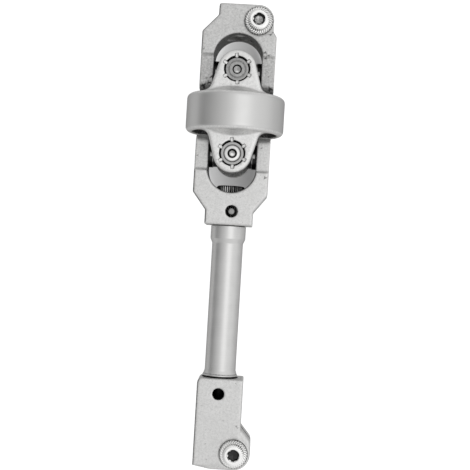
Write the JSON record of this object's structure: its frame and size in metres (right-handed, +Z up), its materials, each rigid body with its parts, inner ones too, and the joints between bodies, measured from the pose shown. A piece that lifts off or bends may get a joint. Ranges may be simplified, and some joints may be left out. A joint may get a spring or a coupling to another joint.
{
  "type": "intermediate steering shaft",
  "caption": "Steel steering shaft that joins a column to a steering gear through a double universal joint, with a pinch-bolt clamp at each end.",
  "frame": {"origin": "middle of the footprint on the surface that the shaft lies on", "axes": "+Y along the shaft towards its column end and upper clamp, +X across it towards the pinch screws, +Z up from the surface, the side that the screw heads face"},
  "size_m": [0.0604, 0.2834, 0.0618],
  "materials": {
    "blasted_steel": "shot blasted, matt",
    "satin_steel": "fine turned, satin",
    "turned_steel": "drawn tube, satin",
    "spline_steel": "machined",
    "dark_steel": "forged, dark",
    "bearing_cup": "drawn, satin",
    "needle_steel": "ground",
    "seal_rubber": "moulded, matt",
    "bright_pin": "ground",
    "bright_screw": "bright zinc",
    "bright_washer": "bright zinc"
  },
  "bodies": {
    "shaft": {"lower_yoke": "blasted_steel", "yoke_pin": "bright_pin", "stub_shaft": "spline_steel", "shaft_tube": "turned_steel", "lower_clamp": "blasted_steel", "lower_pinch_bolt": "bright_screw", "lower_bolt_washer": "bright_washer", "lower_left_cup": "bearing_cup", "lower_left_needles": "needle_steel", "lower_left_seal": "seal_rubber", "lower_right_cup": "bearing_cup", "lower_right_needles": "needle_steel", "lower_right_seal": "seal_rubber"},
    "lower_spider": {"lower_cross": "dark_steel"},
    "ring": {"coupling_ring": "satin_steel", "lower_front_cup": "bearing_cup", "lower_front_needles": "needle_steel", "lower_front_seal": "seal_rubber", "lower_back_cup": "bearing_cup", "lower_back_needles": "needle_steel", "lower_back_seal": "seal_rubber", "upper_front_cup": "bearing_cup", "upper_front_needles": "needle_steel", "upper_front_seal": "seal_rubber", "upper_back_cup": "bearing_cup", "upper_back_needles": "needle_steel", "upper_back_seal": "seal_rubber"},
    "upper_spider": {"upper_cross": "dark_steel"},
    "clamp_yoke": {"upper_clamp_yoke": "blasted_steel", "upper_pinch_bolt": "bright_screw", "upper_bolt_washer": "bright_washer", "upper_left_cup": "bearing_cup", "upper_left_needles": "needle_steel", "upper_left_seal": "seal_rubber", "upper_right_cup": "bearing_cup", "upper_right_needles": "needle_steel", "upper_right_seal": "seal_rubber"}
  },
  "joints": [
    {"name": "lower_yoke_hinge", "type": "hinge", "parent": "shaft", "child": "lower_spider", "pos_m": [0, 0.04897, 0.02877], "axis": [1, 0, 0], "range_deg": [-25, 25]},
    {"name": "lower_ring_hinge", "type": "hinge", "parent": "lower_spider", "child": "ring", "pos_m": [0, 0.04897, 0.02877], "axis": [0, -0.0833, 0.9965], "range_deg": [-25, 25]},
    {"name": "upper_ring_hinge", "type": "hinge", "parent": "ring", "child": "upper_spider", "pos_m": [0, 0.09949, 0.033], "axis": [0, -0.0833, 0.9965], "range_deg": [-25, 25]},
    {"name": "upper_yoke_hinge", "type": "hinge", "parent": "upper_spider", "child": "clamp_yoke", "pos_m": [0, 0.09949, 0.033], "axis": [1, 0, 0], "range_deg": [-25, 25]}
  ]
}
